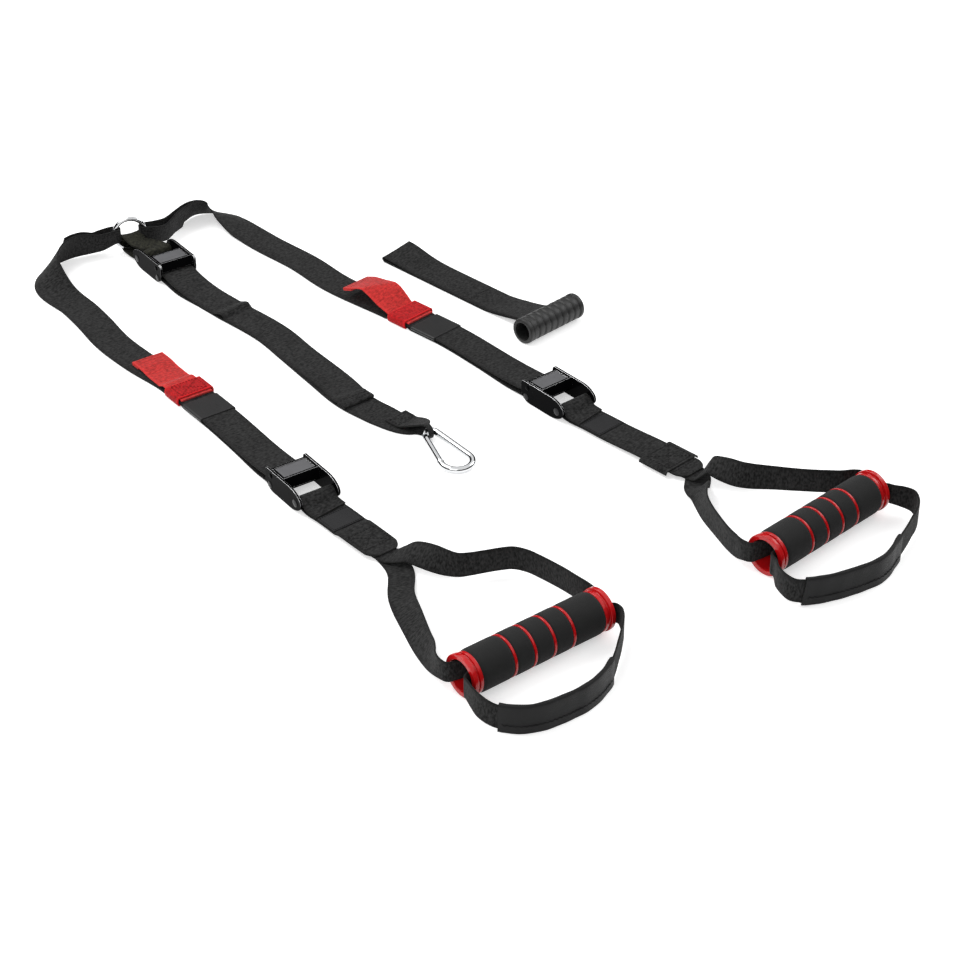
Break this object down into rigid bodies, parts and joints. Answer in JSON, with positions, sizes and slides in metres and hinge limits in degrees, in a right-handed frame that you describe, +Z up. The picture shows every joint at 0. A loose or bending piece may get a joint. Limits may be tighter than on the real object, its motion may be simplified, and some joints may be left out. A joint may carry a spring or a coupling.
{
  "type": "suspension trainer",
  "caption": "Webbing suspension trainer with cam buckles, foam grips with foot loops, a snap hook anchor strap and a separate door anchor.",
  "frame": {"origin": "centre of the laid out trainer's box, on the floor", "axes": "+X from the anchor ring along the arms to the handles, +Y to the arm beside the door anchor, +Z up"},
  "size_m": [1.0026, 0.522, 0.0422],
  "materials": {
    "black_webbing": "fine woven, matt",
    "olive_webbing": "fine woven, matt",
    "red_webbing": "coarse woven, matt",
    "sleeve_fabric": "smooth coated, stitched",
    "black_label": "smooth patch, bare",
    "black_steel": "gloss black",
    "dark_steel": "blackened",
    "chrome": "polished",
    "red_plastic": "gloss",
    "black_plastic": "matt",
    "black_foam": "closed cell foam, matt",
    "black_rubber": "ribbed, satin"
  },
  "bodies": {
    "base": {"anchor_ring": "chrome", "door_anchor_webbing": "black_webbing", "door_anchor_dowel": "black_plastic"},
    "door_tube": {"door_anchor_tube": "black_rubber"},
    "anchor_loop": {"anchor_ring_loop": "olive_webbing"},
    "anchor_buckle": {"anchor_buckle_frame": "black_steel", "anchor_buckle_cam_pin": "black_steel", "anchor_buckle_lip_bar": "dark_steel", "anchor_buckle_webbing_bar": "dark_steel", "anchor_buckle_spring": "dark_steel", "anchor_strap": "black_webbing"},
    "anchor_lever": {"anchor_buckle_lever": "black_steel"},
    "carabiner": {"carabiner_body": "chrome", "carabiner_gate_pin": "chrome"},
    "carabiner_gate": {"carabiner_gate": "chrome", "carabiner_gate_spring": "dark_steel"},
    "left_arm": {"left_arm_strap": "black_webbing", "left_pull_tab": "red_webbing", "left_keeper": "red_webbing", "left_tail_wrap": "black_webbing", "left_buckle_frame": "black_steel", "left_buckle_cam_pin": "black_steel", "left_buckle_lip_bar": "dark_steel", "left_buckle_webbing_bar": "dark_steel", "left_buckle_spring": "dark_steel"},
    "left_lever": {"left_buckle_lever": "black_steel"},
    "left_handle": {"left_handle_tether": "black_webbing", "left_label_patch": "black_label", "left_handle_webbing": "black_webbing"},
    "left_grip": {"left_grip_core": "red_plastic", "left_grip_foam_1": "black_foam", "left_grip_foam_2": "black_foam", "left_grip_foam_3": "black_foam", "left_grip_foam_4": "black_foam", "left_grip_foam_5": "black_foam"},
    "left_foot_loop": {"left_foot_webbing": "black_webbing", "left_foot_sleeve": "sleeve_fabric"},
    "right_arm": {"right_arm_strap": "black_webbing", "right_pull_tab": "red_webbing", "right_keeper": "red_webbing", "right_tail_wrap": "black_webbing", "right_buckle_frame": "black_steel", "right_buckle_cam_pin": "black_steel", "right_buckle_lip_bar": "dark_steel", "right_buckle_webbing_bar": "dark_steel", "right_buckle_spring": "dark_steel"},
    "right_lever": {"right_buckle_lever": "black_steel"},
    "right_handle": {"right_handle_tether": "black_webbing", "right_label_patch": "black_label", "right_handle_webbing": "black_webbing", "right_tether_wrap": "black_webbing"},
    "right_grip": {"right_grip_core": "red_plastic", "right_grip_foam_1": "black_foam", "right_grip_foam_2": "black_foam", "right_grip_foam_3": "black_foam", "right_grip_foam_4": "black_foam", "right_grip_foam_5": "black_foam"},
    "right_foot_loop": {"right_foot_webbing": "black_webbing", "right_foot_sleeve": "sleeve_fabric"}
  },
  "joints": [
    {"name": "anchor_swing", "type": "hinge", "parent": "base", "child": "anchor_loop", "pos_m": [-0.47188, -0.02091, 0.00473], "axis": [-0.4067, -0.9135, 0], "range_deg": [0, 12]},
    {"name": "anchor_buckle_swing", "type": "hinge", "parent": "anchor_loop", "child": "anchor_buckle", "pos_m": [-0.43388, -0.01351, 0.01004], "axis": [-0.0872, -0.9962, 0], "range_deg": [0, 60]},
    {"name": "anchor_lever_press", "type": "hinge", "parent": "anchor_buckle", "child": "anchor_lever", "pos_m": [-0.39002, -0.01734, 0.01699], "axis": [-0.0872, -0.9962, 0], "range_deg": [0, 20], "stiffness_Nm_per_rad": 0.25, "springref_deg": -17.19, "deforming": ["anchor_buckle_spring"]},
    {"name": "carabiner_swing", "type": "hinge", "parent": "anchor_buckle", "child": "carabiner", "pos_m": [0.04812, -0.01291, 0.00713], "axis": [-0.1736, -0.9848, 0], "range_deg": [0, 120]},
    {"name": "carabiner_gate_open", "type": "hinge", "parent": "carabiner", "child": "carabiner_gate", "pos_m": [0.05739, -0.02243, 0.00659], "axis": [0.0492, -0.0087, 0.9987], "range_deg": [0, 24], "stiffness_Nm_per_rad": 0.03, "springref_deg": -17.19},
    {"name": "door_tube_roll", "type": "hinge", "parent": "base", "child": "door_tube", "pos_m": [-0.03638, 0.21959, 0.01403], "axis": [-0.0872, 0.9962, 0], "range_deg": [-8, 8]},
    {"name": "left_arm_swing", "type": "hinge", "parent": "base", "child": "left_arm", "pos_m": [-0.479, -0.03689, 0.02223], "axis": [0, 0, 1], "range_deg": [-60, 6]},
    {"name": "left_lever_press", "type": "hinge", "parent": "left_arm", "child": "left_lever", "pos_m": [0.02807, -0.16528, 0.01699], "axis": [0.0872, 0.9962, 0], "range_deg": [0, 20], "stiffness_Nm_per_rad": 0.25, "springref_deg": -17.19, "deforming": ["left_buckle_spring"]},
    {"name": "left_handle_swing", "type": "hinge", "parent": "left_arm", "child": "left_handle", "pos_m": [0.07193, -0.16911, 0.01004], "axis": [-0.0872, -0.9962, 0], "range_deg": [0, 80]},
    {"name": "left_grip_spin", "type": "hinge", "parent": "left_handle", "child": "left_grip", "pos_m": [0.38512, -0.17141, 0.02053], "axis": [0.0262, 0.9997, 0], "continuous": true},
    {"name": "left_foot_loop_swing", "type": "hinge", "parent": "left_handle", "child": "left_foot_loop", "pos_m": [0.38512, -0.17141, 0.02053], "axis": [-0.0262, -0.9997, 0], "range_deg": [0, 75]},
    {"name": "right_arm_swing", "type": "hinge", "parent": "base", "child": "right_arm", "pos_m": [-0.46476, -0.00492, 0.02223], "axis": [0, 0, 1], "range_deg": [-6, 3]},
    {"name": "right_lever_press", "type": "hinge", "parent": "right_arm", "child": "right_lever", "pos_m": [0.0611, 0.12709, 0.01699], "axis": [0, 1, 0], "range_deg": [0, 20], "stiffness_Nm_per_rad": 0.25, "springref_deg": -17.19, "deforming": ["right_buckle_spring"]},
    {"name": "right_handle_swing", "type": "hinge", "parent": "right_arm", "child": "right_handle", "pos_m": [0.10514, 0.12709, 0.01004], "axis": [0, -1, 0], "range_deg": [0, 80]},
    {"name": "right_grip_spin", "type": "hinge", "parent": "right_handle", "child": "right_grip", "pos_m": [0.41762, 0.15059, 0.02053], "axis": [-0.0698, 0.9976, 0], "continuous": true},
    {"name": "right_foot_loop_swing", "type": "hinge", "parent": "right_handle", "child": "right_foot_loop", "pos_m": [0.41762, 0.15059, 0.02053], "axis": [0.0698, -0.9976, 0], "range_deg": [0, 75]}
  ]
}
